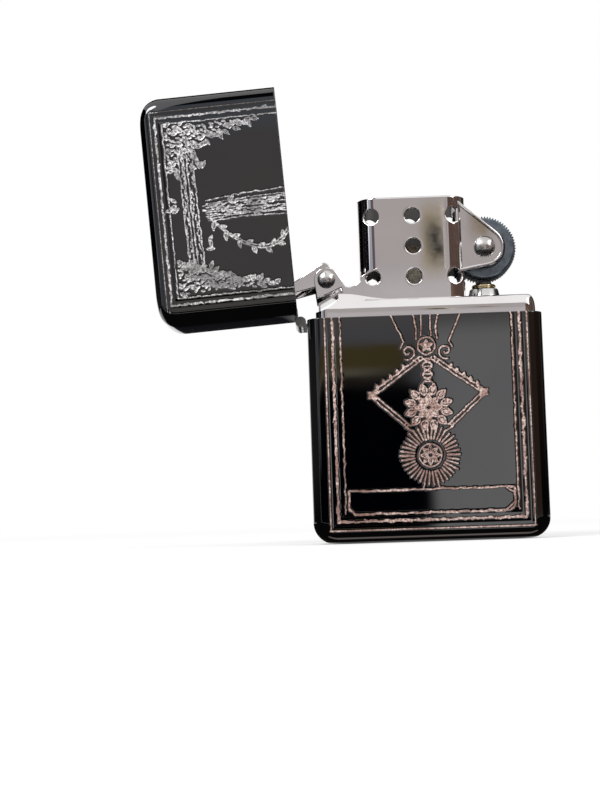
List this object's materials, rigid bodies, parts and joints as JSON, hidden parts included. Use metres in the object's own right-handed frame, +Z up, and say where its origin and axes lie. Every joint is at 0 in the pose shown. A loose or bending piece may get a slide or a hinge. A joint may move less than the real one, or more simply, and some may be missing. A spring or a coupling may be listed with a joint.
{
  "type": "flip-top petrol lighter",
  "caption": "Slim rectangular flip-top petrol lighter in mirror-black metal, its hinged lid standing open over a perforated chrome chimney and flint wheel.",
  "frame": {"origin": "middle of the underside of the case, which the lighter stands on", "axes": "+Z up, +X towards the flint wheel, the engraved front faces -Y, the lid stands open towards -X"},
  "size_m": [0.0624, 0.0126, 0.0727],
  "materials": {
    "case_black": "mirror-polished near-black plating with an engraved front",
    "insert_chrome": "bright polished plate",
    "hinge_steel": "bright plate",
    "spring_steel": "bright spring steel",
    "wheel_steel": "dark bluish steel, file-cut teeth",
    "brass": "plain drawn brass",
    "flint_alloy": "dull grey",
    "wick_fibre": "woven, browned by fuel",
    "copper": "bare copper wire",
    "cotton": "loose cotton",
    "felt": "pressed felt"
  },
  "bodies": {
    "root": {"case_shell": "case_black", "case_hinge_leaf": "hinge_steel", "hinge_pin": "hinge_steel", "insert_tank": "insert_chrome", "insert_deck": "insert_chrome", "chimney": "insert_chrome", "cam_rivet": "insert_chrome", "cam_spring": "spring_steel", "cam_spring_rivets": "spring_steel", "wheel_rivet": "insert_chrome", "flint_tube": "brass", "flint_tube_collar": "insert_chrome", "flint_spring": "spring_steel", "flint_screw": "brass", "wick": "wick_fibre", "wick_wire": "copper", "cotton_packing": "cotton", "felt_pad": "felt"},
    "lid": {"lid_shell": "case_black", "lid_hinge_leaf": "hinge_steel"},
    "cam": {"cam": "insert_chrome"},
    "wheel": {"flint_wheel": "wheel_steel"},
    "flint": {"flint": "flint_alloy", "flint_spring_tip": "brass"}
  },
  "joints": [
    {"name": "lid_hinge", "type": "hinge", "parent": "root", "child": "lid", "pos_m": [-0.0194, 0, 0.035], "axis": [0, -1, 0], "range_deg": [-94, 6]},
    {"name": "cam_swing", "type": "hinge", "parent": "root", "child": "cam", "pos_m": [-0.01514, 0, 0.04145], "axis": [0, -1, 0], "range_deg": [-100, 7]},
    {"name": "wheel_spin", "type": "hinge", "parent": "root", "child": "wheel", "pos_m": [0.00997, 0, 0.046], "axis": [0, 1, 0], "continuous": true},
    {"name": "flint_feed", "type": "slide", "parent": "root", "child": "flint", "axis": [0, 0, 1], "range_m": [-0.001, 0], "stiffness_N_per_m": 60, "springref_m": 0.01, "deforming": ["flint_spring"]}
  ],
  "couplings": [
    {"joint": "cam_swing", "follows": "lid_hinge", "ratio": 1.05}
  ]
}
